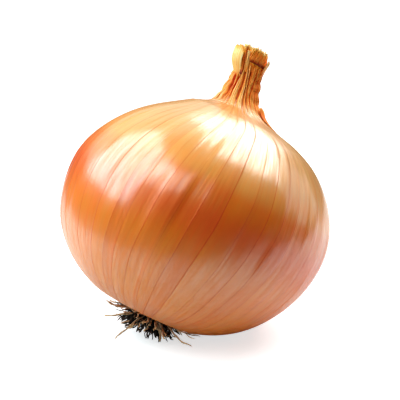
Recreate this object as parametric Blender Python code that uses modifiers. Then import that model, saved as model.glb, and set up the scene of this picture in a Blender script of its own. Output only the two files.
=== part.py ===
"""A dry brown onion, lying a little over on the shoulder of its root end.

Every piece is modelled upright in the bulb's own frame: the middle of the root end is the
origin, the bulb's axis is +Z and the side that it leans towards is +X. An empty then leans
and lifts the whole onion, so that the small flat spot it rests on is centred on the world's
origin. Metres throughout.
"""

import math
import random

import bmesh
import bpy
from mathutils import Matrix, Vector

MM = 0.001

# Bulb: two halves that share their widest ring. A power of 1 makes a half an ellipsoid, more
# draws it in towards its end and less fills it out.
BULB_RADIUS = 40.0 * MM
WIDEST_HEIGHT = 32.6 * MM
UPPER_SEMI_AXIS = 34.0 * MM
UPPER_POWER = 1.14
HIGHEST_RING = math.radians(64)
LOWER_SEMI_AXIS = 34.5 * MM
LOWER_POWER = 0.81
LOWEST_RING = math.radians(-70)
RINGS_ABOVE = 9
RINGS_BELOW = 10
BULB_STEPS = 84

# Neck: the dry skins drawn up into a pleated sleeve with an open mouth.
NECK_RADIUS = 4.4 * MM
MOUTH_HEIGHT = 78.0 * MM
MOUTH_DEPTH = 4.0 * MM
SLEEVE_WALL = 0.8 * MM
PLEATS = 12
PLEAT_DEPTH = 0.075
PLEATS_START = 62.5 * MM
PLEATS_FULL = 69.0 * MM
LOBE_DEPTH = 0.004

# Root end: a shallow dimple with the basal plate in it, a little off the axis towards +X.
PLATE_RADIUS = 6.6 * MM
PLATE_EDGE = 0.4 * MM
PLATE_BULGE = 1.1 * MM
PLATE_STEPS = 24
PLATE_OFFSET = 2.4 * MM
OFFSET_FADES = 16.0 * MM
DIMPLE_DEPTH = 2.6 * MM
GAP = 0.3 * MM

# How the onion rests: it leans towards +X, tips back towards +Y and has a small flat spot.
LEAN_ASIDE = math.radians(26)
TIP_BACK = math.radians(15)
FLAT_SPOT_DEPTH = 0.9 * MM

# The middle of each ring, as (height, drift towards the lean): the shoulder is fuller on
# that side, and the neck bends back the other way.
DRIFT = (
    (0.0 * MM, 0.0 * MM),
    (14.6 * MM, 0.1 * MM),
    (32.6 * MM, 1.2 * MM),
    (46.6 * MM, 2.4 * MM),
    (59.6 * MM, 3.6 * MM),
    (62.4 * MM, 2.4 * MM),
    (65.0 * MM, -0.1 * MM),
    (67.2 * MM, -1.5 * MM),
    (70.8 * MM, -2.5 * MM),
    (75.0 * MM, -2.9 * MM),
    (78.0 * MM, -3.5 * MM),
    (85.0 * MM, -5.4 * MM),
)

# Roots that stand out of the tuft, as (direction round the plate, distance of the foot from
# the plate's middle, length, first and last slant, thickness), in degrees and millimetres.
# Direction 0 points towards the lean and 180 away from it. A slant of 0 leaves the plate
# straight down, 90 runs outwards and more than 90 curls back up.
ROOTS = (
    (8, 5.2, 4.5, 66, 84, 0.75),
    (33, 5.3, 6.0, 64, 88, 0.70),
    (56, 5.1, 9.0, 60, 86, 0.80),
    (79, 5.4, 7.0, 70, 96, 0.65),
    (101, 5.1, 11.5, 62, 92, 0.75),
    (124, 5.4, 9.0, 72, 104, 0.70),
    (146, 5.2, 12.0, 60, 90, 0.80),
    (165, 5.4, 8.0, 70, 92, 0.70),
    (182, 5.4, 13.0, 76, 112, 0.75),
    (199, 5.3, 9.5, 62, 84, 0.70),
    (217, 5.4, 12.0, 66, 96, 0.75),
    (235, 5.4, 8.0, 58, 82, 0.70),
    (250, 5.5, 12.5, 80, 118, 0.60),
    (267, 5.3, 9.5, 62, 90, 0.75),
    (284, 5.4, 8.0, 58, 84, 0.70),
    (300, 5.3, 10.0, 50, 80, 0.85),
    (316, 5.4, 15.2, 66, 94, 0.80),
    (338, 5.4, 6.5, 66, 84, 0.70),
    (20, 2.2, 3.6, 20, 34, 0.80),
    (95, 2.6, 6.0, 26, 48, 0.75),
    (187, 3.2, 11.5, 44, 70, 0.75),
    (230, 2.9, 13.5, 28, 46, 0.80),
    (262, 2.5, 4.6, 12, 30, 0.90),
    (309, 3.1, 8.5, 40, 66, 0.85),
)
ROOT_POINTS = 11
ROOT_TAPER = 0.65
ROOT_SWAY = 0.55 * MM
ROOT_WAVES = 5.5
ROOT_SEED = 11
ROOT_BEVEL_RESOLUTION = 2
TABLE_CLEARANCE = 0.1 * MM

LEAF_WALL = 0.45 * MM
MERGE = 0.00001

SKIN = ("outer_skin", (0.60, 0.20, 0.035), 0.38)
PALE_SKIN = ("pale_skin", (0.84, 0.66, 0.32), 0.62)
LEAF = ("dry_leaf", (0.68, 0.31, 0.08), 0.60)
ROOT = ("dry_root", (0.30, 0.18, 0.10), 0.85)
PLATE = ("basal_plate", (0.11, 0.065, 0.035), 0.90)


def clear_scene():
    for old in list(bpy.data.objects):
        bpy.data.objects.remove(old, do_unlink=True)


def new_collection(name):
    made = bpy.data.collections.new(name)
    bpy.context.scene.collection.children.link(made)
    return made


def material(name, colour, roughness):
    found = bpy.data.materials.get(name)
    if found:
        return found
    made = bpy.data.materials.new(name)
    made.use_nodes = True
    shader = made.node_tree.nodes["Principled BSDF"]
    shader.inputs["Base Color"].default_value = (*colour, 1.0)
    shader.inputs["Roughness"].default_value = roughness
    shader.inputs["Metallic"].default_value = 0.0
    return made


def smoothstep(low, high, value):
    share = min(max((value - low) / (high - low), 0.0), 1.0)
    return share * share * (3.0 - 2.0 * share)


def between(points, place):
    """The value at a place along (place, value) points, in straight runs."""
    for (low, first), (high, last) in zip(points, points[1:]):
        if place <= high:
            share = max((place - low) / (high - low), 0.0)
            return first + (last - first) * share
    return points[-1][1]


def lean_turn():
    return Matrix.Rotation(-TIP_BACK, 4, "X") @ Matrix.Rotation(LEAN_ASIDE, 4, "Y")


def bulb_ring(angle):
    """(radius, height) of the ring at an angle above or below the widest one."""
    if angle > 0.0:
        semi_axis, power = UPPER_SEMI_AXIS, UPPER_POWER
    else:
        semi_axis, power = LOWER_SEMI_AXIS, LOWER_POWER
    return BULB_RADIUS * math.cos(angle) ** power, WIDEST_HEIGHT + semi_axis * math.sin(angle)


def leaning():
    """The move from the bulb's own frame to where the onion rests: its lowest point, less the
    flat spot's depth, comes to the world's origin."""
    turn = lean_turn()
    down = turn.to_3x3().transposed() @ Vector((0.0, 0.0, -1.0))
    side = down.to_2d()
    rings = [bulb_ring(LOWEST_RING * step / 400) for step in range(401)]
    radius, height = max(rings, key=lambda ring: ring[0] * side.length + ring[1] * down.z)
    side.normalize()
    lowest = Vector((radius * side.x, radius * side.y, height))
    return turn @ Matrix.Translation(FLAT_SPOT_DEPTH * down - lowest)


def neck_outline():
    """(radius, height) down the outside of the neck, from its rim to the bulb's shoulder."""
    return [
        (NECK_RADIUS + 0.1 * MM, MOUTH_HEIGHT),
        (NECK_RADIUS - 0.1 * MM, MOUTH_HEIGHT - 2.0 * MM),
        (NECK_RADIUS + 0.1 * MM, MOUTH_HEIGHT - 3.8 * MM),
        (NECK_RADIUS + 0.5 * MM, MOUTH_HEIGHT - 5.6 * MM),
        (NECK_RADIUS + 0.9 * MM, MOUTH_HEIGHT - 7.2 * MM),
        (NECK_RADIUS + 1.6 * MM, MOUTH_HEIGHT - 9.0 * MM),
        (NECK_RADIUS + 2.8 * MM, MOUTH_HEIGHT - 10.8 * MM),
        (NECK_RADIUS + 4.0 * MM, MOUTH_HEIGHT - 12.0 * MM),
        (NECK_RADIUS + 5.4 * MM, MOUTH_HEIGHT - 13.0 * MM),
        (NECK_RADIUS + 7.0 * MM, MOUTH_HEIGHT - 13.7 * MM),
    ]


def shoulder_to_root_outline():
    """(radius, height) down the bulb's two halves and in over the flattened root end."""
    points = [bulb_ring(HIGHEST_RING * (1.0 - ring / RINGS_ABOVE)) for ring in range(RINGS_ABOVE)]
    points += [bulb_ring(LOWEST_RING * ring / RINGS_BELOW) for ring in range(RINGS_BELOW + 1)]
    dimple_radius = PLATE_RADIUS + GAP
    points.append((dimple_radius + 3.2 * MM, 0.0))
    points.append((dimple_radius + 1.2 * MM, 0.5 * MM))
    points.append((dimple_radius, DIMPLE_DEPTH))
    return points


def swelling(height, turn):
    """How much wider or narrower than the plain turned shape the skin is here: pleats round
    the neck, and a few broad lobes below."""
    pleated = smoothstep(PLEATS_START, PLEATS_FULL, height)
    pleat = math.cos(PLEATS * turn) + 0.5 * math.cos(5.0 * turn + 1.0)
    lobe = math.cos(3.0 * turn + 0.6) * smoothstep(0.5 * WIDEST_HEIGHT, WIDEST_HEIGHT, height)
    return 1.0 + PLEAT_DEPTH * pleated * pleat + LOBE_DEPTH * lobe * (1.0 - pleated)


def root_end_shift(radius, height):
    """How far the dimple and the ground round it stand off the axis."""
    near = 1.0 - smoothstep(PLATE_RADIUS + GAP, OFFSET_FADES, radius)
    return PLATE_OFFSET * near if height < 0.5 * WIDEST_HEIGHT else 0.0


def skin_reach(height, turn):
    """The outer skin's distance from its ring's middle, above the widest ring."""
    outline = neck_outline() + shoulder_to_root_outline()[:RINGS_ABOVE]
    rising = sorted((high, radius) for radius, high in outline)
    return between(rising, height) * swelling(height, turn)


def mouth_reach(turn):
    """The mouth's inner distance from its ring's middle."""
    return (NECK_RADIUS - SLEEVE_WALL) * swelling(MOUTH_HEIGHT, turn)


def underside_height(radius):
    """Height of the bulb's lower surface at this distance from its axis."""
    share = min(radius / BULB_RADIUS, 1.0) ** (1.0 / LOWER_POWER)
    skin = WIDEST_HEIGHT - LOWER_SEMI_AXIS * math.sqrt(1.0 - share * share)
    return max(skin, 0.0)


def add_object(name, data, collection, frame):
    made = bpy.data.objects.new(name, data)
    made.parent = frame
    collection.objects.link(made)
    return made


def finished(obj, name, collection, finish):
    """The object as a plain mesh: its modifiers applied, its doubles merged, its material on."""
    bpy.context.view_layer.update()
    graph = bpy.context.evaluated_depsgraph_get()
    mesh = bpy.data.meshes.new_from_object(obj.evaluated_get(graph))
    frame = obj.parent
    bpy.data.objects.remove(obj)
    cleaner = bmesh.new()
    cleaner.from_mesh(mesh)
    bmesh.ops.remove_doubles(cleaner, verts=cleaner.verts, dist=MERGE)
    cleaner.to_mesh(mesh)
    cleaner.free()
    mesh.materials.clear()
    mesh.materials.append(material(*finish))
    mesh.shade_smooth()
    return add_object(name, mesh, collection, frame)


def turned(outline, steps, name, collection, frame, finish):
    """A solid turned from (radius, height) points that run from axis to axis, top first."""
    mesh = bpy.data.meshes.new(name + "_outline")
    places = [(radius, 0.0, height) for radius, height in outline]
    mesh.from_pydata(places, [(i, i + 1) for i in range(len(places) - 1)], [])
    line = add_object(name + "_line", mesh, collection, frame)
    screw = line.modifiers.new("turn", "SCREW")
    screw.steps = steps
    screw.render_steps = steps
    screw.use_merge_vertices = True
    screw.merge_threshold = MERGE
    return finished(line, name, collection, finish)


def table_cutter(cutters):
    """A block whose top is the table: it cuts the flat spot."""
    bpy.ops.mesh.primitive_cube_add(size=1.0, location=(0.0, 0.0, -10.0 * MM))
    table = bpy.context.object
    table.name = "table_cutter"
    table.scale = (120.0 * MM, 120.0 * MM, 20.0 * MM)
    table.display_type = "WIRE"
    table.hide_render = True
    for owner in list(table.users_collection):
        owner.objects.unlink(table)
    cutters.objects.link(table)
    return table


def make_bulb(collection, frame, cutters):
    """The bulb and its neck: one solid, because its outer skin runs from root end to mouth."""
    mouth_floor = MOUTH_HEIGHT - MOUTH_DEPTH
    mouth_radius = NECK_RADIUS - SLEEVE_WALL
    outline = [(0.0, mouth_floor), (mouth_radius, mouth_floor), (mouth_radius, MOUTH_HEIGHT)]
    outline += neck_outline() + shoulder_to_root_outline() + [(0.0, DIMPLE_DEPTH)]
    bulb = turned(outline, BULB_STEPS, "bulb", collection, frame, SKIN)
    for vertex in bulb.data.vertices:
        height = vertex.co.z
        shift = root_end_shift(vertex.co.to_2d().length, height)
        scale = swelling(height, math.atan2(vertex.co.y, vertex.co.x))
        vertex.co.x = vertex.co.x * scale + between(DRIFT, height) + shift
        vertex.co.y *= scale
    flat = bulb.modifiers.new("flat_spot", "BOOLEAN")
    flat.operation = "DIFFERENCE"
    flat.object = table_cutter(cutters)


def plate_underside(radius):
    """Height of the basal plate's lower face at this distance from its middle."""
    share = min(radius / PLATE_RADIUS, 1.0)
    return -PLATE_BULGE + (PLATE_EDGE + PLATE_BULGE) * share ** 3


def make_plate(collection, frame):
    """The basal plate: the low corky dome that the roots grow from."""
    top = DIMPLE_DEPTH - GAP
    bevel = 0.4 * MM
    outline = [(0.0, top), (PLATE_RADIUS - bevel, top), (PLATE_RADIUS, top - bevel)]
    for share in (1.0, 0.85, 0.6, 0.3, 0.0):
        radius = PLATE_RADIUS * share
        outline.append((radius, plate_underside(radius)))
    plate = turned(outline, PLATE_STEPS, "root_plate", collection, frame, PLATE)
    plate.location.x = PLATE_OFFSET


def root_route(root, phase, to_table):
    """Points along a root: it leaves the plate at its first slant and bends evenly to its
    last one, with a sway, kept clear of the bulb above it and of the table below it."""
    direction, foot, length, first_slant, last_slant, thickness = root
    out = math.radians(direction)
    thickness *= MM
    reach = foot * MM
    height = plate_underside(reach) - GAP - 0.5 * thickness
    step = length * MM / (ROOT_POINTS - 1)
    from_table = to_table.inverted()
    route = []
    for i in range(ROOT_POINTS):
        share = i / (ROOT_POINTS - 1)
        sway = ROOT_SWAY * share * math.sin(ROOT_WAVES * share + phase)
        place = Vector((
            PLATE_OFFSET + reach * math.cos(out) - sway * math.sin(out),
            reach * math.sin(out) + sway * math.cos(out),
            height,
        ))
        ceiling = underside_height(place.to_2d().length) - thickness - GAP
        place.z = min(place.z, ceiling)
        rested = to_table @ place
        rested.z = max(rested.z, 0.5 * thickness + TABLE_CLEARANCE)
        route.append(from_table @ rested)
        slant = math.radians(first_slant + (last_slant - first_slant) * share)
        reach += step * math.sin(slant)
        height -= step * math.cos(slant)
    return route


def make_roots(collection, frame, to_table):
    """The roots that stand out of the tuft, each a tapered tube."""
    chance = random.Random(ROOT_SEED)
    for number, root in enumerate(ROOTS, start=1):
        curve = bpy.data.curves.new(f"root_route_{number}", "CURVE")
        curve.dimensions = "3D"
        curve.bevel_depth = 0.5 * root[-1] * MM
        curve.bevel_resolution = ROOT_BEVEL_RESOLUTION
        curve.use_fill_caps = True
        spline = curve.splines.new("POLY")
        route = root_route(root, chance.uniform(0.0, math.tau), to_table)
        spline.points.add(len(route) - 1)
        for i, place in enumerate(route):
            spline.points[i].co = (*place, 1.0)
            spline.points[i].radius = 1.0 - ROOT_TAPER * i / (len(route) - 1)
        tube = add_object("root_tube", curve, collection, frame)
        finished(tube, f"root_{number:02d}", collection, ROOT)


def make_sheet(name, finish, arc, heights, reach, steps, rag, collection, frame):
    """A dried sheet round the neck's middle line. arc is its first and last direction in
    degrees, heights its low and high edge, reach(height, turn) its distance from the line,
    steps its squares across and up, and rag how ragged its top edge is."""
    sheet = bmesh.new()
    bmesh.ops.create_grid(sheet, x_segments=steps[0], y_segments=steps[1], size=0.5)
    first, last = (math.radians(angle) for angle in arc)
    low, high = (height * MM for height in heights)
    for vertex in sheet.verts:
        across = vertex.co.x + 0.5
        up = vertex.co.y + 0.5
        torn = math.sin(17.0 * across) + math.sin(31.0 * across + 2.0)
        height = low + (high - low) * up + 0.5 * rag * MM * torn * up
        turn = first + (last - first) * across
        radius = reach(height, turn)
        middle = between(DRIFT, height)
        vertex.co = (middle + radius * math.cos(turn), radius * math.sin(turn), height)
    mesh = bpy.data.meshes.new(name)
    sheet.to_mesh(mesh)
    sheet.free()
    leaf = add_object("sheet", mesh, collection, frame)
    wall = leaf.modifiers.new("wall", "SOLIDIFY")
    wall.thickness = LEAF_WALL
    wall.offset = 0.0
    finished(leaf, name, collection, finish)


def mouth_leaf(flare):
    """The reach of a leaf end that lines the mouth and flares above its rim."""
    def reach(height, turn):
        inside = mouth_reach(turn) - GAP - 0.5 * LEAF_WALL
        return inside + flare * MM * smoothstep(MOUTH_HEIGHT, MOUTH_HEIGHT + 4.5 * MM, height)
    return reach


def rolled_leaf(height, turn):
    """The reach of the innermost leaf end, a narrow roll in the middle of the mouth."""
    return 1.8 * MM + 0.4 * MM * smoothstep(MOUTH_HEIGHT, MOUTH_HEIGHT + 3.0 * MM, height)


def outer_flake(low, high, lift):
    """The reach of a flake that hangs on outside the skin and lifts away from it upwards."""
    def reach(height, turn):
        clear = skin_reach(height, turn) + GAP + 1.6 * LEAF_WALL
        return clear + lift * MM * smoothstep(low * MM, high * MM, height)
    return reach


def make_leaf_ends(collection, frame):
    """The dried leaf ends in the neck's mouth, and the loose flakes of skin outside it."""
    home = (collection, frame)
    make_sheet("pale_leaf_end", PALE_SKIN, (136, 240), (74.6, 82.6), mouth_leaf(2.5),
               (12, 8), 0.6, *home)
    make_sheet("folded_leaf_end", LEAF, (-84, 110), (74.6, 83.9), mouth_leaf(1.6),
               (18, 8), 0.6, *home)
    make_sheet("narrow_leaf_end", LEAF, (250, 268), (74.6, 83.4), mouth_leaf(1.2),
               (4, 8), 0.3, *home)
    make_sheet("rolled_leaf_end", PALE_SKIN, (20, 330), (74.6, 81.6), rolled_leaf,
               (18, 6), 0.6, *home)
    make_sheet("side_flake", PALE_SKIN, (-34, 2), (75.2, 81.6), outer_flake(76.4, 81.6, 0.9),
               (5, 6), 0.3, *home)
    make_sheet("collar_flake", LEAF, (-36, 20), (65.0, 68.6), outer_flake(66.0, 68.6, 0.5),
               (7, 6), 0.5, *home)


def main():
    clear_scene()
    parts = new_collection("onion")
    cutters = new_collection("cutters")
    to_table = leaning()
    frame = bpy.data.objects.new("lean", None)
    frame.matrix_world = to_table
    parts.objects.link(frame)
    make_bulb(parts, frame, cutters)
    make_plate(parts, frame)
    make_roots(parts, frame, to_table)
    make_leaf_ends(parts, frame)


main()
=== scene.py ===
"""A dry brown onion: the grown bulb and neck, the dried leaf ends, the tuft of roots, and the
studio round them. Pieces are shaped upright in the bulb's own frame and then leaned over."""

import math
import random

import bpy
import numpy as np
from mathutils import Matrix, Vector


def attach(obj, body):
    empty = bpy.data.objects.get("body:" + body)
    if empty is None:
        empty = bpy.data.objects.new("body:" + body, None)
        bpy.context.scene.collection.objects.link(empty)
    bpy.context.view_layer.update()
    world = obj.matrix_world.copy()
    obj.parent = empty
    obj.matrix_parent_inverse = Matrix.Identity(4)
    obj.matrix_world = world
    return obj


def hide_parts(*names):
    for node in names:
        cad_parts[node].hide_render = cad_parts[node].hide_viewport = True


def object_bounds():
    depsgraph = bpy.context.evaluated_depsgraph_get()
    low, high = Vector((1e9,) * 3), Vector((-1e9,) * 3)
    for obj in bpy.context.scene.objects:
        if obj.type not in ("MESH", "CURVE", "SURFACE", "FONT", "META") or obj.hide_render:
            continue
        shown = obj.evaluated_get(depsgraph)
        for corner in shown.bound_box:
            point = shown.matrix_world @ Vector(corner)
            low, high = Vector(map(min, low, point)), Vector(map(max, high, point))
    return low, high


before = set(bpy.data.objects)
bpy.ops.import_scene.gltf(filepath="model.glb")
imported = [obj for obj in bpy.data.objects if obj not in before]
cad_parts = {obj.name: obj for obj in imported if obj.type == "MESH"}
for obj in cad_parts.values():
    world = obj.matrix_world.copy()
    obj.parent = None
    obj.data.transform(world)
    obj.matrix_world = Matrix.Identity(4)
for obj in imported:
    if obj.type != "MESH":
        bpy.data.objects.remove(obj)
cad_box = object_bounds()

MM = 0.001
TAU = math.tau

# The bulb's driving sizes, the same as the frame's.
BULB_RADIUS = 40.0
WIDEST = 32.6
UPPER_SEMI_AXIS = 34.0
UPPER_POWER = 1.14
HIGHEST_RING = math.radians(62)
LOWER_SEMI_AXIS = 34.5
LOWER_POWER = 0.81
LOWEST_RING = math.radians(-70)
RIM_HEIGHT = 78.4
MOUTH_DEPTH = 3.6
SLEEVE_WALL = 0.5
PLATE_RADIUS = 6.6
PLATE_OFFSET = 2.4
PLATE_BULGE = 1.1
PLATE_EDGE = 0.4
DIMPLE_DEPTH = 2.6
LEAN_ASIDE = math.radians(26)
TIP_BACK = math.radians(15)
FLAT_SPOT_DEPTH = 0.9

# (height, radius) up the neck, from the shoulder to the rim.
NECK = (
    (62.5, 17.2), (63.2, 15.2), (63.7, 13.2), (64.3, 11.4), (65.0, 9.8), (66.0, 8.4),
    (67.2, 7.3), (69.0, 6.1), (70.8, 5.4), (74.2, 4.6), (76.0, 4.35), (78.0, 4.25), (82.0, 4.3),
)
# (height, drift of the ring's middle towards the lean).
DRIFT = (
    (0.0, 0.0), (14.6, 0.1), (32.6, 1.2), (46.6, 2.4), (59.6, 3.6), (62.4, 2.4),
    (65.0, -0.1), (67.2, -1.5), (70.8, -2.5), (75.0, -2.9), (78.0, -3.5), (85.0, -5.4),
)

# The skin's mesh: one strip of the blank to each panel between two veins, and how finely the
# strips are split.
VEINS = 44
SPLITS = 8
BLANK_RINGS = 23

# Where the skin's colours reach their last stop, up the bulb's own frame.
COLOURS_TOP = 82.0

# The replaced roots are drawn a little stouter than the frame's, and all roots taper.
ROOT_STATIONS = 21
ROOT_STOUTNESS = 1.15
ROOT_TAPER = 0.6
FINE_TAPER = 0.55

# The studio, in metres. The floor throws light back only within its lit round.
LIT_MIDDLE = (0.0, 0.12, 0.0)
LIT_WITHIN, DARK_BEYOND = 0.17, 0.27
LIT_SHADE, DARK_SHADE, SEEN_SHADE = 0.62, 0.03, 1.30
ROOM_GLOW = 0.015
CAMERA_LENS, CAMERA_FILM = 100.0, 36.0
CAMERA_RAISED = math.radians(15)
CAMERA_DISTANCE = 0.3324
AIM_ACROSS, AIM_UP = 0.00103, 0.00382


# ---------------------------------------------------------------- small helpers

def smoothstep(low, high, value):
    share = np.clip((value - low) / (high - low), 0.0, 1.0)
    return share * share * (3.0 - 2.0 * share)


def rounded_line(points, spread, step=0.1):
    """A function through points whose corners are rounded over spread."""
    places, values = zip(*points)
    reach = int(4 * spread / step)
    at = np.arange(places[0] - 4 * spread, places[-1] + 4 * spread, step)
    raw = np.pad(np.interp(at, places, values), reach, mode="edge")
    weights = np.exp(-0.5 * (np.arange(-reach, reach + 1) * step / spread) ** 2)
    smooth = np.convolve(raw, weights / weights.sum(), mode="valid")
    return lambda value: np.interp(value, at, smooth)


class Waves:
    """A seeded sum of waves: round the bulb it closes on itself, and up it it wanders."""

    def __init__(self, seed, turns, lengths):
        chance = random.Random(seed)
        self.terms = []
        for count in turns:
            up = chance.uniform(*lengths) * chance.choice((-1, 1))
            self.terms.append((count, TAU / up, chance.uniform(0, TAU), chance.uniform(0.6, 1.0)))

    def __call__(self, around, height):
        total = 0.0
        for count, rate, phase, weight in self.terms:
            total = total + weight * np.sin(TAU * count * around + rate * height + phase)
        return total / math.sqrt(len(self.terms))


def bulb_ring(angle):
    """(radius, height) of the ring at an angle above or below the widest one."""
    if angle > 0.0:
        semi_axis, power = UPPER_SEMI_AXIS, UPPER_POWER
    else:
        semi_axis, power = LOWER_SEMI_AXIS, LOWER_POWER
    return BULB_RADIUS * math.cos(angle) ** power, WIDEST + semi_axis * math.sin(angle)


def bulb_frame():
    """The move from the bulb's own frame, in millimetres, to where it rests, in metres."""
    turn = Matrix.Rotation(-TIP_BACK, 4, "X") @ Matrix.Rotation(LEAN_ASIDE, 4, "Y")
    down = turn.to_3x3().transposed() @ Vector((0.0, 0.0, -1.0))
    side = down.to_2d()
    rings = [bulb_ring(LOWEST_RING * step / 400) for step in range(401)]
    radius, height = max(rings, key=lambda ring: ring[0] * side.length + ring[1] * down.z)
    side.normalize()
    lowest = Vector((radius * side.x, radius * side.y, height))
    spot = lowest - FLAT_SPOT_DEPTH * down
    return Matrix.Scale(MM, 4) @ turn @ Matrix.Translation(-spot)


TO_TABLE = np.array(bulb_frame())


def rested(places):
    """Places in the bulb's frame, moved to where the onion rests."""
    return places @ TO_TABLE[:3, :3].T + TO_TABLE[:3, 3]


def select_none():
    bpy.ops.object.select_all(action="DESELECT")


def get_places(obj):
    places = np.empty(3 * len(obj.data.vertices))
    obj.data.vertices.foreach_get("co", places)
    return places.reshape(-1, 3)


def set_places(obj, places):
    obj.data.vertices.foreach_set("co", np.ascontiguousarray(places, dtype=np.float32).ravel())
    obj.data.update()


def set_point_values(obj, name, values):
    attribute = obj.data.attributes.new(name, "FLOAT", "POINT")
    attribute.data.foreach_set("value", np.ascontiguousarray(values, dtype=np.float32))


def named(obj, name, material):
    obj.name = name
    obj.data.name = name
    obj.data.materials.clear()
    obj.data.materials.append(material)
    obj.data.shade_smooth()
    return obj


def apply_all(obj):
    select_none()
    obj.select_set(True)
    bpy.context.view_layer.objects.active = obj
    for modifier in list(obj.modifiers):
        bpy.ops.object.modifier_apply(modifier=modifier.name)


# ---------------------------------------------------------------- the grown skin

neck_radius = rounded_line(NECK, 0.5)
drift = rounded_line(DRIFT, 1.3)

vein_spacing = Waves(3, (2, 3, 5, 7, 11, 13), (1e6, 2e6))
slow_wander = Waves(8, (1, 2, 3, 5, 7), (45, 110))
quick_wander = Waves(21, (9, 14, 19, 23, 29), (13, 30))
neck_wander = Waves(34, (2, 3, 5, 8), (14, 40))


def skin_turn(around, height):
    """The direction, in radians, of a share of the way round at this height. The count
    starts behind the bulb, so that is where the seam lies."""
    even = around + 0.0045 * vein_spacing(around, 0.0)
    on_bulb = 1.0 - smoothstep(58.0, 67.0, height)
    wander = 0.011 * slow_wander(around, height) + 0.0030 * quick_wander(around, height)
    folded = 0.10 * neck_wander(around, height) * smoothstep(63.0, 73.0, height)
    return TAU * even + 0.25 * TAU + wander * on_bulb + folded


def creases_round_the_neck():
    """Where the neck is folded: (share of the way round, depth, width, slant)."""
    chance = random.Random(17)
    folds = []
    for number in range(24):
        around = (number + chance.uniform(-0.3, 0.3)) / 24
        folds.append((around, chance.uniform(0.3, 1.0), chance.uniform(0.18, 0.34),
                      chance.uniform(-0.012, 0.012)))
    folds += [(0.372, 1.0, 0.24, 0.0), (0.405, 1.0, 0.20, 0.0), (0.335, 0.8, 0.2, 0.0)]
    return folds


CREASES = creases_round_the_neck()


def pleats(around, height, radius):
    """0 in the folds of the neck and 1 on its ridges."""
    fold = 0.0
    for place, depth, width, slant in CREASES:
        line = place + slant * (height - 71.0) / 6.0 + 0.006 * neck_wander(around, height)
        away = (around - line + 0.5) % 1.0 - 0.5
        away = np.abs(away) * TAU * np.clip(radius, 3.5, 9.0)
        fold = np.maximum(fold, depth * np.exp(-(away / width) ** 2))
    fine = 0.5 + 0.5 * np.cos(TAU * (71.0 * around + 0.5 * neck_wander(around, height)))
    return 1.0 - fold - 0.16 * fine * (1.0 - fold)


def panel_relief(around, height, chance):
    """The skin between two veins stands a little in or out of its neighbours, in waves."""
    phases = chance.uniform(0.0, TAU, VEINS)
    lengths = chance.uniform(34.0, 60.0, VEINS)
    depths = chance.uniform(0.06, 0.26, VEINS)
    place = around * VEINS
    vein = np.round(place).astype(int)
    across = smoothstep(-0.24, 0.24, place - vein)
    total = 0.0
    for panel, share in ((vein - 1, 1.0 - across), (vein, across)):
        panel = panel % VEINS
        wave = np.sin(TAU * height / lengths[panel] + phases[panel])
        total = total + share * depths[panel] * wave
    middle = place - np.floor(place) - 0.5
    return total + 0.10 * middle * middle - 0.02


def skin_places(around, radius, height, chance, lift=0.0):
    """Places on the grown skin for plain turned (radius, height) rings."""
    turn = skin_turn(around, height)
    pleated = smoothstep(60.5, 70.0, height) ** 1.4
    in_fold = (pleats(around, height, radius) - 0.75) * 1.05 * pleated
    lobe = 0.004 * np.cos(3.0 * turn + 0.6) * smoothstep(17.0, 34.0, height)
    on_bulb = smoothstep(4.0, 14.0, height) * (1.0 - smoothstep(57.0, 65.0, height))
    swell = lobe * radius * (1.0 - pleated) + in_fold * np.minimum(radius / 4.0, 1.0)
    swell = swell + panel_relief(around, height, chance) * on_bulb
    lumps = np.sin(1.9 * height + 3.0 * neck_wander(around, height)) * (0.4 + np.cos(turn) ** 2)
    swell = swell + 0.16 * lumps * pleated * (1.0 - smoothstep(75.0, 78.0, height))
    shift = PLATE_OFFSET * (1.0 - smoothstep(PLATE_RADIUS + 0.3, 16.0, radius))
    shift = np.where(height < 0.5 * WIDEST, shift, 0.0)
    reach = radius + swell + lift
    return np.stack([
        reach * np.cos(turn) + drift(height) + shift,
        reach * np.sin(turn),
        np.broadcast_to(height, reach.shape),
    ], axis=-1)


def skin_rings():
    """(radius, height) rings from inside the mouth, over the rim and down the outside of the
    bulb, into the dimple."""
    floor = RIM_HEIGHT - MOUTH_DEPTH
    inner = neck_radius(RIM_HEIGHT) - SLEEVE_WALL
    rings = [(inner, height) for height in np.linspace(floor, RIM_HEIGHT - 0.1, 8)]
    rings.append((inner + 0.5 * SLEEVE_WALL, RIM_HEIGHT + 0.12))
    last_height = bulb_ring(HIGHEST_RING)[1]
    for height in np.linspace(RIM_HEIGHT, last_height + 0.3, 56):
        rings.append((float(neck_radius(height)), height))
    left = BLANK_RINGS * SPLITS + 1 - len(rings) - 8
    rings += [bulb_ring(angle) for angle in np.linspace(HIGHEST_RING, LOWEST_RING, left)]
    last_radius = rings[-1][0]
    dimple = PLATE_RADIUS + 0.3
    for share in (0.2, 0.4, 0.6, 0.8, 1.0):
        rings.append((last_radius + (dimple + 1.2 - last_radius) * share, 0.18 + 0.32 * share))
    rings += [(dimple + 0.5, 0.9), (dimple + 0.1, 1.6), (dimple, DIMPLE_DEPTH)]
    return np.array(rings)


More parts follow.
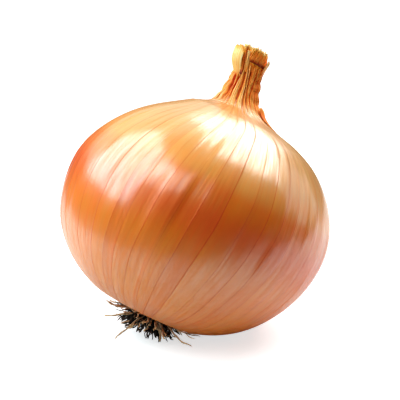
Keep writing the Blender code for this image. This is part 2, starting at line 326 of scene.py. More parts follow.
def turned_blank(rings):
    """The bulb as plainly turned: an open ring drawn down and scaled step by step, one strip
    for each panel of skin, then divided so that each strip carries its own fine mesh."""
    coarse = rings[::SPLITS]
    radius, height = coarse[0]
    select_none()
    bpy.ops.mesh.primitive_circle_add(
        vertices=VEINS, radius=radius * MM, location=(0.0, 0.0, height * MM), fill_type="NOTHING")
    blank = bpy.context.object
    bpy.ops.object.transform_apply(location=True)
    bpy.ops.object.mode_set(mode="EDIT")
    for next_radius, next_height in coarse[1:]:
        drop = (next_height - height) * MM
        bpy.ops.mesh.extrude_region_move(TRANSFORM_OT_translate={"value": (0.0, 0.0, drop)})
        share = next_radius / radius
        bpy.ops.transform.resize(value=(share, share, 1.0))
        radius, height = next_radius, next_height
    bpy.ops.object.mode_set(mode="OBJECT")
    lay_strips(blank)
    divide = blank.modifiers.new("divide", "SUBSURF")
    divide.subdivision_type = "SIMPLE"
    divide.levels = divide.render_levels = int(math.log2(SPLITS))
    apply_all(blank)
    return blank


def lay_strips(blank):
    """The blank's UV map: U is how far round the skin, from behind, and V how far up."""
    mesh = blank.data
    first, second = mesh.vertices[0].co, mesh.vertices[1].co
    leftwards = first.x * second.y - first.y * second.x > 0
    layer = mesh.uv_layers.active or mesh.uv_layers.new(name="skin")
    layer.name = "skin"
    for face in mesh.polygons:
        corners = [mesh.loops[corner].vertex_index for corner in face.loop_indices]
        columns = [corner % VEINS for corner in corners]
        wraps = max(columns) - min(columns) > 1
        for corner, vertex, column in zip(face.loop_indices, corners, columns):
            u = (column + (VEINS if wraps and column == 0 else 0)) / VEINS
            u = u if leftwards else 1.0 - u
            layer.data[corner].uv = (u, 1.0 - (vertex // VEINS) / BLANK_RINGS)


def corner_values(mesh):
    """For each vertex, one of its corners' U and V."""
    vertex = np.empty(len(mesh.loops), dtype=np.int32)
    mesh.loops.foreach_get("vertex_index", vertex)
    pairs = np.empty(2 * len(mesh.loops), dtype=np.float32)
    mesh.uv_layers["skin"].data.foreach_get("uv", pairs)
    values = np.zeros((len(mesh.vertices), 2))
    values[vertex] = pairs.reshape(-1, 2)
    return values


def make_bulb(material):
    """The bulb and neck: the turned blank, grown into veins, pleats and a ragged rim."""
    rings = skin_rings()
    bulb = turned_blank(rings)
    around, along = corner_values(bulb.data).T
    around = around % 1.0
    ring = np.rint((1.0 - along) * BLANK_RINGS * SPLITS).astype(int)
    radius, height = rings[ring].T

    top = smoothstep(RIM_HEIGHT - 3.0, RIM_HEIGHT, height)
    rag = 0.16 * quick_wander(around, 0.0) + 0.25 * neck_wander(around, 0.0)
    rag = rag + 0.55 * np.cos(TAU * (around - 0.45))
    grown = skin_places(around, radius, height, np.random.default_rng(12))
    grown[:, 2] += rag * top
    world = rested(grown)
    world[:, 2] = np.maximum(world[:, 2], 0.0)
    set_places(bulb, world)

    in_neck = smoothstep(66.2, 68.0, height + 0.5 * quick_wander(around, 3.0))
    dried = smoothstep(0.512, 0.527, around) * (1.0 - smoothstep(0.93, 1.0, around))
    # The two deepest creases get a deep red: partly the neck's own red, partly painted crease
    # shade.
    crease_red_and_shade = np.maximum(
        np.exp(-((around - 0.372 - 0.003 * np.sin(height)) / 0.013) ** 2),
        np.exp(-((around - 0.405 + 0.002 * np.sin(1.7 * height)) / 0.008) ** 2))
    crease_red_and_shade = crease_red_and_shade * np.exp(-((height - 72.6) / 3.0) ** 4)
    set_point_values(bulb, "panel_width", TAU * radius / VEINS)
    set_point_values(bulb, "height", height)
    set_point_values(bulb, "pleat", pleats(around, height, radius))
    set_point_values(bulb, "dried", dried * in_neck)
    set_point_values(bulb, "reddened", crease_red_and_shade)
    close_ends(bulb)
    return named(bulb, "onion_skin", material)


def close_ends(obj):
    """Both open ends are closed with a ring of faces drawn to their middle."""
    select_none()
    obj.select_set(True)
    bpy.context.view_layer.objects.active = obj
    for upper in (True, False):
        bpy.ops.object.mode_set(mode="EDIT")
        bpy.ops.mesh.select_all(action="DESELECT")
        bpy.ops.mesh.select_mode(type="VERT")
        bpy.ops.mesh.select_non_manifold(extend=False)
        bpy.ops.object.mode_set(mode="OBJECT")
        places = get_places(obj)
        limit = 0.5 * (places[:, 2].max() + places[:, 2].min())
        for vertex in obj.data.vertices:
            if vertex.select and (vertex.co.z > limit) != upper:
                vertex.select = False
        bpy.ops.object.mode_set(mode="EDIT")
        bpy.ops.mesh.extrude_region_move()
        bpy.ops.mesh.merge(type="CENTER")
        bpy.ops.object.mode_set(mode="OBJECT")
    bpy.ops.object.mode_set(mode="EDIT")
    bpy.ops.mesh.select_all(action="SELECT")
    bpy.ops.mesh.normals_make_consistent(inside=False)
    bpy.ops.object.mode_set(mode="OBJECT")


# ---------------------------------------------------------------- dried leaf ends

def make_leaf_end(name, material, arc, top, foot, bulge, rag, teeth, fibres=0.1, seed=1,
                  thickness=0.22, tilt=0.0, curl=0.0, heel=0.0, slant=0.0, grid=(56, 44)):
    """A thin sheet standing round the mouth of the neck: a flat grid bent into an arc, drawn
    out over a radius line and torn along its top edge, then given its thickness."""
    select_none()
    bpy.ops.mesh.primitive_grid_add(x_subdivisions=grid[0], y_subdivisions=grid[1], size=1.0)
    leaf = bpy.context.object
    places = get_places(leaf)
    across, up = places[:, 0] + 0.5, places[:, 1] + 0.5
    tears = Waves(seed, (3, 5, 8), (1e6, 2e6))
    nicks = Waves(seed + 50, (14, 21, 33, 47), (1e6, 2e6))
    grain = Waves(seed + 90, (9, 17, 26, 41), (14.0, 60.0))
    turn = np.radians(arc[0] + (arc[1] - arc[0]) * across)
    edge = smoothstep(0.0, 0.08, across) * smoothstep(0.0, 0.08, 1.0 - across)
    reach_up = top + tilt * (across - 0.5) + rag * tears(across, 0.0) + teeth * nicks(across, 0.0)
    reach_up = foot + (reach_up - foot) * (0.75 + 0.25 * edge)
    low = foot + heel * (np.abs(2.0 * across - 0.8) ** 1.3 + 0.12 * nicks(across, 3.0))
    height = low + (reach_up - low) * up
    radius = rounded_line(bulge, 0.4)(height)
    ridge = grain(across - slant * up, 8.0 * up)
    radius = radius + fibres * ridge * (0.35 + 0.65 * up)
    radius = radius + curl * (np.abs(2.0 * across - 1.0) ** 3) * up
    turn = turn + 0.03 * tears(across, 0.0) * up
    upright = np.stack([
        drift(height) + radius * np.cos(turn), radius * np.sin(turn), height], axis=-1)
    set_places(leaf, rested(upright))
    set_point_values(leaf, "up", up)
    # The grain's height, which the leaf material turns into painted shade and light.
    set_point_values(leaf, "ridge", 0.5 + 0.4 * ridge)
    solid = leaf.modifiers.new("thickness", "SOLIDIFY")
    solid.thickness = thickness * MM
    solid.offset = 0.0
    apply_all(leaf)
    named(leaf, name, material)
    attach(leaf, "root")
    return leaf


def make_leaf_ends():
    pale = make_leaf_material("pale_leaf", (
        (0.0, (0.80, 0.24, 0.02)), (0.25, (0.92, 0.56, 0.17)), (0.8, (0.96, 0.68, 0.26)),
        (0.94, (0.92, 0.46, 0.07)), (1.0, (0.80, 0.30, 0.02))))
    # The browned leaf is near black at its foot: painted shade where its foot sits in the neck.
    brown = make_leaf_material("browned_leaf", (
        (0.0, (0.14, 0.008, 0.001)), (0.10, (0.45, 0.06, 0.003)), (0.26, (1.0, 0.28, 0.03)),
        (0.60, (1.0, 0.24, 0.010)), (0.82, (1.0, 0.35, 0.025)), (1.0, (1.0, 0.66, 0.18))))
    tan = make_leaf_material("tan_leaf", (
        (0.0, (0.92, 0.26, 0.02)), (0.5, (1.00, 0.48, 0.11)), (1.0, (1.00, 0.62, 0.20))))
    bark = make_leaf_material("reddened_leaf", (
        (0.0, (0.78, 0.30, 0.05)), (0.35, (0.84, 0.20, 0.012)), (0.8, (0.88, 0.24, 0.015)),
        (1.0, (0.92, 0.50, 0.12))))

    flap = make_leaf_end(
        "pale_flap", pale, arc=(150, 240), top=82.8, foot=74.5, tilt=1.0,
        bulge=((73.9, 4.0), (75.8, 4.3), (77.1, 5.1), (78.6, 5.8), (80.4, 5.9), (82.9, 5.2)),
        rag=0.25, teeth=0.14, fibres=0.08, seed=4, curl=-0.4)
    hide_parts("pale_leaf_end")

    strip = make_leaf_end(
        "brown_fold", brown, arc=(236, 246), top=83.6, foot=75.3,
        bulge=((74.9, 4.4), (78.9, 4.9), (81.9, 5.0), (83.9, 4.8)), tilt=-0.5,
        rag=0.1, teeth=0.06, fibres=0.06, seed=9, grid=(14, 44), thickness=0.3)

    sheath = make_leaf_end(
        "narrow_sheath", tan, arc=(246, 266), top=82.4, foot=76.4,
        bulge=((75.9, 4.1), (78.9, 4.5), (81.4, 4.8), (83.9, 4.5)),
        rag=0.12, teeth=0.05, fibres=0.08, seed=14, curl=-0.5, grid=(20, 40))
    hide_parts("narrow_leaf_end")

    wad = make_leaf_end(
        "folded_wad", brown, arc=(264, 452), top=84.0, foot=79.7,
        bulge=((78.9, 3.6), (79.7, 4.1), (80.3, 4.7), (81.4, 4.9), (82.9, 4.8), (84.9, 4.6)),
        rag=0.25, teeth=0.42, fibres=0.18, seed=23, slant=0.11, grid=(170, 48), thickness=0.3)
    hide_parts("folded_leaf_end")

    fringe = make_leaf_end(
        "inner_fringe", brown, arc=(222, 400), top=83.9, foot=77.0,
        bulge=((76.9, 3.3), (78.9, 3.6), (80.9, 4.1), (83.9, 4.4)),
        rag=0.2, teeth=0.34, fibres=0.12, seed=61, grid=(150, 40))

    under = make_leaf_end(
        "under_leaf", brown, arc=(255, 440), top=80.4, foot=76.4,
        bulge=((75.9, 3.7), (77.9, 4.0), (79.3, 4.2), (80.9, 3.9)),
        rag=0.15, teeth=0.08, fibres=0.14, seed=31, grid=(120, 30), thickness=0.3)

    inner = make_leaf_end(
        "rolled_inner_leaf", pale, arc=(20, 345), top=81.5, foot=74.9,
        bulge=((73.9, 2.2), (77.9, 2.5), (80.9, 2.9), (82.9, 3.0)),
        rag=0.35, teeth=0.12, fibres=0.12, seed=37, grid=(120, 36))
    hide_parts("rolled_leaf_end")

    flake = make_leaf_end(
        "side_flake", tan, arc=(-28, 14), top=82.1, foot=77.4, tilt=-0.8,
        bulge=((76.9, 4.3), (78.9, 4.8), (80.4, 5.3), (82.4, 6.1)),
        rag=0.2, teeth=0.08, fibres=0.07, seed=43, grid=(24, 30), thickness=0.18)
    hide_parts("side_flake")

    collar = make_leaf_end(
        "collar_flake", bark, arc=(-38, 6), top=68.6, foot=64.0, tilt=-0.6, heel=1.9,
        bulge=((63.9, 12.3), (65.2, 10.0), (66.8, 8.4), (69.2, 7.6)),
        rag=0.2, teeth=0.1, fibres=0.12, seed=47, grid=(36, 30), thickness=0.25)
    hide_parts("collar_flake")


# ---------------------------------------------------------------- roots

# The roots that stand out, the same as the frame's: (direction, foot, length, first and last
# slant, thickness).
ROOTS = (
    (8, 5.2, 4.5, 66, 84, 0.75),
    (33, 5.3, 6.0, 64, 88, 0.70),
    (56, 5.1, 9.0, 60, 86, 0.80),
    (79, 5.4, 7.0, 70, 96, 0.65),
    (101, 5.1, 11.5, 62, 92, 0.75),
    (124, 5.4, 9.0, 72, 104, 0.70),
    (146, 5.2, 12.0, 60, 90, 0.80),
    (165, 5.4, 8.0, 70, 92, 0.70),
    (182, 5.4, 13.0, 76, 112, 0.75),
    (199, 5.3, 9.5, 62, 84, 0.70),
    (217, 5.4, 12.0, 66, 96, 0.75),
    (235, 5.4, 8.0, 58, 82, 0.70),
    (250, 5.5, 12.5, 80, 118, 0.60),
    (267, 5.3, 9.5, 62, 90, 0.75),
    (284, 5.4, 8.0, 58, 84, 0.70),
    (300, 5.3, 10.0, 50, 80, 0.85),
    (316, 5.4, 15.2, 66, 94, 0.80),
    (338, 5.4, 6.5, 66, 84, 0.70),
    (20, 2.2, 3.6, 20, 34, 0.80),
    (95, 2.6, 6.0, 26, 48, 0.75),
    (187, 3.2, 11.5, 44, 70, 0.75),
    (230, 2.9, 13.5, 28, 46, 0.80),
    (262, 2.5, 4.6, 12, 30, 0.90),
    (309, 3.1, 8.5, 40, 66, 0.85),
)

# The finer roots between them, by kind: (how many, foot, length, direction, first and last
# slant, shade, thickness). The shade is painted shade: near black for the roots under the
# plate and against the skin, pale tan for those that stand out in front.
TUFT = (
    (215, (0.5, 6.0), (3.5, 8.5), (0, 360), (22, 50), (0.00, 0.04), (0.50, 1.00)),
    (60, (4.8, 6.3), (2.5, 6.0), (150, 360), (72, 100), (0.00, 0.06), (0.40, 0.80)),
    (45, (3.0, 6.2), (3.0, 8.0), (0, 360), (50, 85), (0.00, 0.22), (0.40, 0.80)),
    (12, (2.0, 6.2), (6.0, 11.0), (215, 350), (48, 78), (0.75, 1.00), (0.60, 0.85)),
    (5, (5.5, 6.3), (12.0, 16.5), (230, 325), (82, 100), (0.50, 1.00), (0.45, 0.60)),
)


def plate_underside(radius):
    share = np.minimum(radius / PLATE_RADIUS, 1.0)
    return -PLATE_BULGE + (PLATE_EDGE + PLATE_BULGE) * share ** 3


def underside_height(radius):
    share = np.minimum(radius / BULB_RADIUS, 1.0) ** (1.0 / LOWER_POWER)
    return np.maximum(WIDEST - LOWER_SEMI_AXIS * np.sqrt(1.0 - share * share), 0.0)


def root_route(root, chance):
    """Points along a root, in the bulb's frame: it leaves the plate at its first slant and
    bends to its last one, with kinks and a sway, clear of the bulb and of the table."""
    direction, foot, length, first_slant, last_slant, thickness = root
    share = np.linspace(0.0, 1.0, ROOT_STATIONS)
    phase = chance.uniform(0, TAU, 6)
    sway = 0.55 * np.sin(5.5 * share + phase[0]) + 0.22 * np.sin(15 * share + phase[1])
    sway = (sway + 0.10 * np.sin(31 * share + phase[2])) * share * min(length / 9.0, 1.2)
    bob = (0.30 * np.sin(7 * share + phase[3]) + 0.14 * np.sin(19 * share + phase[4])) * share
    slant = np.radians(first_slant + (last_slant - first_slant) * share)
    step = length / (ROOT_STATIONS - 1)
    reach = foot + np.concatenate([[0.0], np.cumsum(step * np.sin(slant[:-1]))])
    drop = np.concatenate([[0.0], np.cumsum(step * np.cos(slant[:-1]))])
    height = plate_underside(foot) + 0.5 - drop + bob
    out = math.radians(direction)
    x = PLATE_OFFSET + reach * math.cos(out) - sway * math.sin(out)
    y = reach * math.sin(out) + sway * math.cos(out)
    height = np.minimum(height, underside_height(np.hypot(x, y)) - 0.5 * thickness)
    places = rested(np.stack([x, y, height], axis=-1))
    clear = 0.5 * thickness * MM * (1 - ROOT_TAPER * share) + 0.05 * MM
    places[:, 2] = np.maximum(places[:, 2], clear)
    return places


def make_root_blank():
    """One root, modelled once: a slim capsule whose rings are stations along it."""
    select_none()
    bpy.ops.mesh.primitive_uv_sphere_add(segments=7, ring_count=ROOT_STATIONS - 1, radius=1.0)
    blank = bpy.context.object
    blank.name = "root_blank"
    return blank


def lay_root(blank, route, thickness, taper, shade, name, material):
    """A copy of the blank laid along a route, thick at the foot and thin at the tip."""
    root = blank.copy()
    root.data = blank.data.copy()
    bpy.context.collection.objects.link(root)
    places = get_places(root)
    count = len(route)
    ring = np.rint(np.arccos(np.clip(places[:, 2], -1, 1)) / math.pi * (count - 1)).astype(int)
    turn = np.arctan2(places[:, 1], places[:, 0])
    ahead = np.gradient(route, axis=0)
    ahead /= np.linalg.norm(ahead, axis=1, keepdims=True)
    side = np.cross(ahead, (0.31, 0.52, 0.79))
    side /= np.linalg.norm(side, axis=1, keepdims=True)
    up = np.cross(side, ahead)
    share = np.linspace(0.0, 1.0, count)
    knots = 1.0 + 0.16 * np.sin(23 * share + 40 * shade) + 0.10 * np.sin(51 * share + 9 * shade)
    radius = 0.5 * thickness * MM * (1.0 - taper * share ** 0.8) * knots
    radius[0] = radius[-1] = 0.0
    out = np.cos(turn)[:, None] * side[ring] + np.sin(turn)[:, None] * up[ring]
    set_places(root, route[ring] + radius[ring][:, None] * out)
    set_point_values(root, "along", share[ring])
    set_point_values(root, "shade", np.full(len(ring), shade))
    return named(root, name, material)


def make_roots(material):
    blank = make_root_blank()
    chance = np.random.default_rng(11)
    for number, root in enumerate(ROOTS, start=1):
        route = root_route(root, chance)
        name = f"root_{number:02d}"
        shade = chance.uniform(0.6, 1.0)
        thickness = ROOT_STOUTNESS * root[-1]
        piece = lay_root(blank, route, thickness, ROOT_TAPER, shade, f"dried_{name}", material)
        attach(piece, "root")
        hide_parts(name)

    fine = []
    for count, feet, lengths, directions, slants, shades, thicknesses in TUFT:
        for _ in range(count):
            foot, length = chance.uniform(*feet), chance.uniform(*lengths)
            direction = chance.uniform(*directions)
            shade, thickness = chance.uniform(*shades), chance.uniform(*thicknesses)
            first = slants[0] + chance.uniform(-12, 12)
            last = slants[1] + chance.uniform(-14, 14)
            route = root_route((direction, foot, length, first, last, thickness), chance)
            fine.append(lay_root(blank, route, thickness, FINE_TAPER, shade, "fine", material))
    bpy.data.objects.remove(blank)
    select_none()
    for piece in fine:
        piece.select_set(True)
    bpy.context.view_layer.objects.active = fine[0]
    bpy.ops.object.join()
    tuft = named(bpy.context.object, "fine_roots", material)
    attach(tuft, "root")


def make_plate(material):
    """The basal plate: a low cork dome with a rough face."""
    select_none()
    bpy.ops.mesh.primitive_uv_sphere_add(segments=64, ring_count=32, radius=1.0)
    plate = bpy.context.object
    places = get_places(plate)
    out = np.hypot(places[:, 0], places[:, 1])
    turn = np.arctan2(places[:, 1], places[:, 0])
    rough = 0.18 * np.sin(9 * turn + 14 * out) + 0.14 * np.sin(17 * turn - 21 * out)
    low = plate_underside(PLATE_RADIUS * out) + rough * out - 1.4 * (1.0 - out ** 4)
    height = np.where(places[:, 2] < 0, low, DIMPLE_DEPTH - 0.3 - 0.4 * out ** 6)
    reach = (PLATE_RADIUS - 0.05) * out
    upright = np.stack([
        PLATE_OFFSET + reach * np.cos(turn), reach * np.sin(turn), height], axis=-1)
    set_places(plate, rested(upright))
    named(plate, "cork_plate", material)
    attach(plate, "root")
    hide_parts("root_plate")


# ---------------------------------------------------------------- materials

def add_node(tree, kind, values=None, **settings):
    node = tree.nodes.new(kind)
    for name, value in settings.items():
        setattr(node, name, value)
    for key, value in (values or {}).items():
        feed(tree, node.inputs[key], value)
    return node


def feed(tree, socket, value):
    if isinstance(value, bpy.types.NodeSocket):
        tree.links.new(value, socket)
    else:
        socket.default_value = value


def sum_of(tree, operation, first, second=0.0, third=None, clamp=False):
    values = {0: first, 1: second}
    if third is not None:
        values[2] = third
    return add_node(tree, "ShaderNodeMath", values, operation=operation, use_clamp=clamp).outputs[0]


def ramp(tree, factor, stops, interpolation="EASE"):
    node = add_node(tree, "ShaderNodeValToRGB", {"Fac": factor})
    node.color_ramp.interpolation = interpolation
    elements = node.color_ramp.elements
    while len(elements) < len(stops):
        elements.new(0.5)
    for element, (place, colour) in zip(elements, stops):
        element.position = place
        element.color = (*colour, 1.0)
    return node.outputs["Color"]


def blend(tree, mode, share, first, second):
    node = add_node(tree, "ShaderNodeMix", data_type="RGBA", blend_type=mode)
    feed(tree, node.inputs["Factor"], share)
    feed(tree, node.inputs["A"], first)
    feed(tree, node.inputs["B"], second)
    return node.outputs["Result"]


def attribute(tree, name):
    return add_node(tree, "ShaderNodeAttribute", attribute_name=name).outputs["Fac"]


def mottle_group():
    """Fine mottling by position, shared by the dry parts."""
    group = bpy.data.node_groups.get("mottle")
    if group:
        return group
    group = bpy.data.node_groups.new("mottle", "ShaderNodeTree")
    group.interface.new_socket("Scale", in_out="INPUT", socket_type="NodeSocketFloat")
    group.interface.new_socket("Detail", in_out="INPUT", socket_type="NodeSocketFloat")
    group.interface.new_socket("Mottle", in_out="OUTPUT", socket_type="NodeSocketFloat")
    given = group.nodes.new("NodeGroupInput")
    result = group.nodes.new("NodeGroupOutput")
    noise = add_node(group, "ShaderNodeTexNoise", {
        "Vector": add_node(group, "ShaderNodeTexCoord").outputs["Object"],
        "Scale": given.outputs["Scale"], "Detail": given.outputs["Detail"]})
    group.links.new(noise.outputs["Fac"], result.inputs["Mottle"])
    return group


def mottle(tree, scale, detail):
    node = tree.nodes.new("ShaderNodeGroup")
    node.node_tree = mottle_group()
    node.inputs["Scale"].default_value = scale
    node.inputs["Detail"].default_value = detail
    return node.outputs["Mottle"]


def new_material(name, roughness):
    material = bpy.data.materials.new(name)
    material.use_nodes = True
    tree = material.node_tree
    shader = tree.nodes["Principled BSDF"]
    shader.inputs["Roughness"].default_value = roughness
    return material, tree, shader


def make_skin_material():
    material, tree, shader = new_material("onion_skin", 0.36)
    uv = add_node(tree, "ShaderNodeUVMap", uv_map="skin").outputs[0]
    split = add_node(tree, "ShaderNodeSeparateXYZ", {0: uv})
    u, v = split.outputs[0], split.outputs[1]
    height = attribute(tree, "height")
    width = attribute(tree, "panel_width")
    place = sum_of(tree, "MULTIPLY", u, float(VEINS))
    vein = sum_of(tree, "ROUND", place)
    vein_seed = sum_of(tree, "MODULO", vein, float(VEINS))
    panel_seed = sum_of(tree, "MODULO", sum_of(tree, "FLOOR", place), float(VEINS))
    offset = sum_of(tree, "SUBTRACT", place, vein)
    distance = sum_of(tree, "MULTIPLY", sum_of(tree, "ABSOLUTE", offset), width)

    # Round coordinates, so that patterns close on themselves.
    angle = sum_of(tree, "MULTIPLY", u, TAU)
    circle_x = sum_of(tree, "COSINE", angle)
    circle_y = sum_of(tree, "SINE", angle)

    def streaks(across, along, detail, seed):
        vector = add_node(tree, "ShaderNodeCombineXYZ", {
            0: sum_of(tree, "MULTIPLY", circle_x, across / TAU),
            1: sum_of(tree, "MULTIPLY", circle_y, across / TAU),
            2: sum_of(tree, "MULTIPLY", v, along),
        })
        noise = add_node(tree, "ShaderNodeTexNoise", {
            "Vector": vector.outputs[0], "Scale": 1.0, "Detail": detail, "W": seed},
            noise_dimensions="4D")
        return noise.outputs["Fac"]

    def random_of(seed, salt):
        shifted = sum_of(tree, "ADD", seed, salt)
        noise = add_node(tree, "ShaderNodeTexWhiteNoise", {"W": shifted}, noise_dimensions="1D")
        return noise.outputs["Value"]

    vein_strength = random_of(vein_seed, 0.37)
    panel_tint = random_of(panel_seed, 7.21)
    panel_tilt_shade = random_of(panel_seed, 19.7)

    stops = [
        (0.00, (0.80, 0.220, 0.010)),
        (0.07, (0.96, 0.270, 0.012)),
        (0.25, (0.96, 0.232, 0.004)),
        (0.40, (0.94, 0.126, 0.001)),
        (0.49, (0.90, 0.195, 0.003)),
        (0.55, (0.84, 0.320, 0.045)),
        (0.62, (0.70, 0.340, 0.085)),
        (0.70, (0.58, 0.310, 0.090)),
        (0.76, (0.54, 0.290, 0.080)),
        (0.80, (0.62, 0.270, 0.050)),
        (1.00, (0.68, 0.290, 0.055)),
    ]
    share = sum_of(tree, "DIVIDE", height, COLOURS_TOP)
    base = ramp(tree, share, stops)
    warm = blend(tree, "MULTIPLY", 1.0, base, (0.96, 0.80, 0.62, 1.0))
    base = blend(tree, "MIX", panel_tint, base, warm)
    # Painted shade: each panel turns darker and warmer towards one edge, as if tilted away from the
    # light.
    across = sum_of(tree, "FRACT", place)
    tilt_shade = sum_of(tree, "MULTIPLY", sum_of(tree, "SUBTRACT", across, 0.5), panel_tilt_shade)
    base = blend(tree, "MULTIPLY", sum_of(tree, "ADD", 0.25, tilt_shade, clamp=True), base,
                 (0.95, 0.82, 0.66, 1.0))
    fibres = add_node(tree, "ShaderNodeMapRange", {
        "Value": streaks(280.0, 13.0, 3.0, 1.0), "From Min": 0.36, "From Max": 0.64}).outputs[0]
    soft = add_node(tree, "ShaderNodeMapRange", {
        "Value": streaks(90.0, 3.5, 2.5, 5.0), "From Min": 0.34, "From Max": 0.66}).outputs[0]
    base = blend(tree, "MULTIPLY", sum_of(tree, "MULTIPLY", fibres, 0.6), base,
                 (0.97, 0.74, 0.45, 1.0))
    base = blend(tree, "MULTIPLY", sum_of(tree, "MULTIPLY", soft, 0.5), base,
                 (0.97, 0.76, 0.50, 1.0))

    # Veins.
    fade = streaks(60.0, 5.0, 1.0, 9.0)
    line = add_node(tree, "ShaderNodeMapRange", {
        "Value": distance, "From Min": 0.05, "From Max": 0.23, "To Min": 1.0, "To Max": 0.0},
        interpolation_type="SMOOTHSTEP").outputs[0]
    fine_place = sum_of(tree, "ADD", sum_of(tree, "MULTIPLY", u, 3.0 * VEINS), fade)
    fine_vein = sum_of(tree, "ROUND", fine_place)
    fine_away = sum_of(tree, "ABSOLUTE", sum_of(tree, "SUBTRACT", fine_place, fine_vein))
    fine_away = sum_of(tree, "MULTIPLY", fine_away, sum_of(tree, "DIVIDE", width, 3.0))
    fine_line = add_node(tree, "ShaderNodeMapRange", {
        "Value": fine_away, "From Min": 0.02, "From Max": 0.14, "To Min": 1.0, "To Max": 0.0},
        interpolation_type="SMOOTHSTEP").outputs[0]
    fine_drawn = sum_of(tree, "POWER", random_of(fine_vein, 3.9), 2.0)
    fine_line = sum_of(tree, "MULTIPLY", fine_line, sum_of(tree, "MULTIPLY", fine_drawn, 0.55))
    base = blend(tree, "MULTIPLY", fine_line, base, (0.90, 0.48, 0.18, 1.0))

    drawn = sum_of(tree, "POWER", vein_strength, 1.6)
    strength = sum_of(tree, "MULTIPLY", line, sum_of(tree, "ADD", drawn, 0.28, clamp=True))
    strength = sum_of(tree, "MULTIPLY", strength, sum_of(tree, "ADD", fade, 0.45, clamp=True))
    base = blend(tree, "MULTIPLY", strength, base, (0.84, 0.44, 0.08, 1.0))

    # Folds of the neck: straw on one side, dried to a deep orange on the other. Both run from a
    # dark red in the folds to pale on the ridges: painted shade in the folds and painted light on
    # the ridges.
    in_neck = add_node(tree, "ShaderNodeMapRange", {
        "Value": height, "From Min": 64.5, "From Max": 69.0}).outputs[0]
    pleat = attribute(tree, "pleat")
    straw = ramp(tree, pleat, [
        (0.20, (0.62, 0.065, 0.002)), (0.50, (1.00, 0.28, 0.02)), (0.85, (1.00, 0.50, 0.12)),
        (1.00, (1.00, 0.66, 0.28))])
    base = blend(tree, "MIX", sum_of(tree, "MULTIPLY", in_neck, 0.9), base, straw)
    brown = ramp(tree, pleat, [
        (0.20, (0.46, 0.040, 0.001)), (0.50, (1.00, 0.170, 0.003)), (0.82, (1.00, 0.29, 0.012)),
        (1.00, (1.00, 0.44, 0.07))])
    base = blend(tree, "MIX", sum_of(tree, "MULTIPLY", attribute(tree, "dried"), 0.95), base, brown)
    strands = add_node(tree, "ShaderNodeMapRange", {
        "Value": streaks(150.0, 9.0, 4.0, 12.0), "From Min": 0.38, "From Max": 0.60}).outputs[0]
    strands = sum_of(tree, "MULTIPLY", sum_of(tree, "SUBTRACT", 1.0, strands), in_neck)
    base = blend(tree, "MULTIPLY", strands, base, (0.92, 0.50, 0.16, 1.0))
    # Deep red along the two deepest creases: the neck's own red, darkened as painted crease shade.
    base = blend(tree, "MIX", attribute(tree, "reddened"), base, (0.60, 0.012, 0.0, 1.0))
    feed(tree, shader.inputs["Base Color"], base)

    relief = sum_of(tree, "ADD", sum_of(tree, "MULTIPLY", line, 0.03),
                    sum_of(tree, "MULTIPLY", fibres, 0.012))
    relief = sum_of(tree, "ADD", relief, sum_of(tree, "MULTIPLY", soft, 0.10))
    relief = sum_of(tree, "SUBTRACT", relief, sum_of(tree, "MULTIPLY", strands, 0.10))
    bump = add_node(tree, "ShaderNodeBump", {
        "Height": relief, "Strength": 1.0, "Distance": MM})
    feed(tree, shader.inputs["Normal"], bump.outputs[0])
    rough = sum_of(tree, "ADD", sum_of(tree, "MULTIPLY", soft, 0.08), 0.44)
    rough = sum_of(tree, "ADD", rough, sum_of(tree, "MULTIPLY", in_neck, 0.25))
    feed(tree, shader.inputs["Roughness"], rough)
    gloss = sum_of(tree, "SUBTRACT", 1.0, sum_of(tree, "MULTIPLY", fibres, 0.5))
    low = add_node(tree, "ShaderNodeMapRange", {
        "Value": height, "From Min": 0.0, "From Max": 12.0, "To Min": 0.5, "To Max": 0.0})
    gloss = sum_of(tree, "SUBTRACT", gloss, low.outputs[0])
    gloss = sum_of(tree, "SUBTRACT", gloss, sum_of(tree, "MULTIPLY", strength, 0.75))
    gloss = sum_of(tree, "SUBTRACT", gloss, sum_of(tree, "MULTIPLY", fine_line, 0.6))
    gloss = sum_of(tree, "SUBTRACT", gloss, sum_of(tree, "MULTIPLY", in_neck, 0.95), clamp=True)
    feed(tree, shader.inputs["Coat Weight"], gloss)
    shader.inputs["IOR"].default_value = 1.85
    shader.inputs["Specular Tint"].default_value = (1.0, 0.72, 0.28, 1.0)
    shader.inputs["Coat Roughness"].default_value = 0.22
    shader.inputs["Coat IOR"].default_value = 2.0
    return material


def make_leaf_material(name, stops):
    """Thin dry leaf: coloured from its foot to its torn edge, streaked along its fibres with
    painted shade in their grooves and painted light on their ridges.
    """
    material, tree, shader = new_material(name, 0.55)
    up = attribute(tree, "up")
    ridge = attribute(tree, "ridge")
    place = sum_of(tree, "ADD", up, sum_of(tree, "MULTIPLY", mottle(tree, 900.0, 3.0), 0.08))
    colour = ramp(tree, sum_of(tree, "SUBTRACT", place, 0.04), stops)
    # Painted shade in the grain's grooves and painted light, paler and bluer, on its ridges.
    shade = ramp(tree, ridge, [
        (0.20, (0.74, 0.26, 0.03)), (0.48, (1.0, 0.80, 0.55)), (0.72, (1.0, 1.10, 1.3))])
    colour = blend(tree, "MULTIPLY", 0.85, colour, shade)
    feed(tree, shader.inputs["Base Color"], colour)
    shader.inputs["Specular IOR Level"].default_value = 0.2
    return material


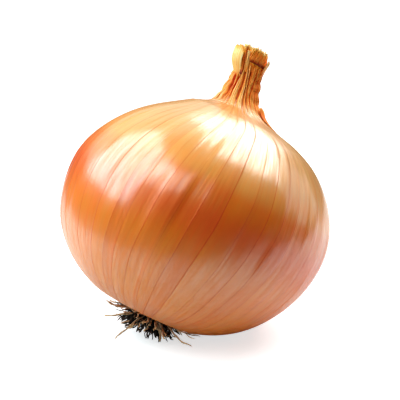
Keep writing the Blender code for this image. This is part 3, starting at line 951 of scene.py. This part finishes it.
def make_root_material():
    material, tree, shader = new_material("dried_root", 0.75)
    along = attribute(tree, "along")
    shade = attribute(tree, "shade")
    # Darker towards each root's foot and by its shade value: partly the roots' own brown, partly
    # painted shade under the bulb, near black for the roots under the plate.
    place = sum_of(tree, "ADD", sum_of(tree, "MULTIPLY", along, 0.40),
                   sum_of(tree, "MULTIPLY", mottle(tree, 1400.0, 3.0), 0.35))
    place = sum_of(tree, "ADD", place, sum_of(tree, "MULTIPLY", shade, 0.75))
    colour = ramp(tree, sum_of(tree, "SUBTRACT", place, 0.34), [
        (0.0, (0.004, 0.002, 0.001)), (0.22, (0.03, 0.014, 0.007)), (0.44, (0.28, 0.15, 0.075)),
        (0.68, (0.66, 0.42, 0.24)), (1.0, (0.82, 0.54, 0.25))])
    feed(tree, shader.inputs["Base Color"], colour)
    shader.inputs["Specular IOR Level"].default_value = 0.25
    return material


def make_plate_material():
    material, tree, shader = new_material("cork", 0.9)
    # Near black: painted shade for the dark under the bulb, over the cork's mottling.
    colour = ramp(tree, mottle(tree, 900.0, 4.0), [
        (0.35, (0.006, 0.004, 0.003)), (0.65, (0.05, 0.027, 0.015))])
    feed(tree, shader.inputs["Base Color"], colour)
    return material


# ---------------------------------------------------------------- studio

def make_floor():
    select_none()
    bpy.ops.mesh.primitive_plane_add(size=8.0, location=(0.0, 0.0, cad_box[0][2] - 0.0001))
    floor = bpy.context.object
    floor.name = "floor"
    material, tree, shader = new_material("floor", 0.8)
    # It throws light back close to the onion only, and looks evenly pale.
    place = add_node(tree, "ShaderNodeTexCoord").outputs["Object"]
    reach = add_node(tree, "ShaderNodeVectorMath", {0: place, 1: LIT_MIDDLE},
                     operation="DISTANCE").outputs["Value"]
    lit = add_node(tree, "ShaderNodeMapRange", {
        "Value": reach, "From Min": LIT_WITHIN, "From Max": DARK_BEYOND,
        "To Min": LIT_SHADE, "To Max": DARK_SHADE},
        interpolation_type="SMOOTHSTEP").outputs[0]
    feed(tree, shader.inputs["Base Color"], lit)
    shader.inputs["Emission Color"].default_value = (1.0, 1.0, 1.0, 1.0)
    seen = add_node(tree, "ShaderNodeLightPath").outputs["Is Camera Ray"]
    pale = sum_of(tree, "SUBTRACT", SEEN_SHADE, lit)
    feed(tree, shader.inputs["Emission Strength"], sum_of(tree, "MULTIPLY", seen, pale))
    floor.data.materials.append(material)


def add_softbox(name, direction, distance, size, power, target, roll=0.0, tint=(1.0, 1.0, 1.0)):
    light = bpy.data.lights.new(name, "AREA")
    light.shape = "RECTANGLE"
    light.size, light.size_y = size
    light.energy = power
    light.color = tint
    lamp = bpy.data.objects.new(name, light)
    bpy.context.collection.objects.link(lamp)
    direction = Vector(direction).normalized()
    lamp.location = target + direction * distance
    facing = direction.to_track_quat("Z", "Y").to_matrix()
    turned = facing @ Matrix.Rotation(math.radians(roll), 3, "Z")
    lamp.rotation_euler = turned.to_euler()


def make_world():
    world = bpy.data.worlds.new("studio")
    bpy.context.scene.world = world
    world.use_nodes = True
    tree = world.node_tree
    seen = tree.nodes["Background"]
    seen.inputs["Color"].default_value = (1.0, 1.0, 1.0, 1.0)
    seen.inputs["Strength"].default_value = 1.0
    room = add_node(tree, "ShaderNodeBackground", {
        "Color": (1.0, 1.0, 1.0, 1.0), "Strength": ROOM_GLOW})
    path = add_node(tree, "ShaderNodeLightPath")
    mix = add_node(tree, "ShaderNodeMixShader", {
        0: path.outputs["Is Camera Ray"], 1: room.outputs[0], 2: seen.outputs[0]})
    tree.links.new(mix.outputs[0], tree.nodes["World Output"].inputs["Surface"])


def make_camera(middle):
    camera = bpy.data.cameras.new("camera")
    camera.lens = CAMERA_LENS
    camera.sensor_width = CAMERA_FILM
    holder = bpy.data.objects.new("camera", camera)
    bpy.context.collection.objects.link(holder)
    back = Vector((0.0, -math.cos(CAMERA_RAISED), math.sin(CAMERA_RAISED)))
    up = Vector((0.0, math.sin(CAMERA_RAISED), math.cos(CAMERA_RAISED)))
    target = middle + Vector((AIM_ACROSS, 0.0, 0.0)) + up * AIM_UP
    holder.location = target + back * CAMERA_DISTANCE
    holder.rotation_euler = back.to_track_quat("Z", "Y").to_euler()
    bpy.context.scene.camera = holder


def make_studio():
    middle = Vector(rested(np.array([[1.2, 0.0, WIDEST]]))[0])
    make_floor()
    make_world()
    add_softbox("left_softbox", (-0.70, -0.02, 0.72), 0.6, (0.70, 0.68), 7.1, middle,
                tint=(0.80, 1.0, 1.05))
    add_softbox("right_softbox", (0.50, 0.42, 0.80), 0.6, (0.60, 0.42), 5.2, middle, roll=-26.0)
    add_softbox("front_fill", (-0.25, -0.56, 0.80), 0.8, (0.60, 0.35), 1.30, middle)
    add_softbox("back_panel", (-0.15, 0.72, 0.68), 0.9, (1.8, 0.9), 4.5, middle)
    add_softbox("side_panel", (0.92, 0.36, 0.22), 0.8, (0.5, 0.9), 1.5, middle)
    make_camera(middle)
    bpy.context.scene.view_settings.view_transform = "Standard"


def main():
    skin = make_skin_material()
    bulb = make_bulb(skin)
    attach(bulb, "root")
    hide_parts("bulb")
    make_leaf_ends()
    make_roots(make_root_material())
    make_plate(make_plate_material())
    make_studio()


main()
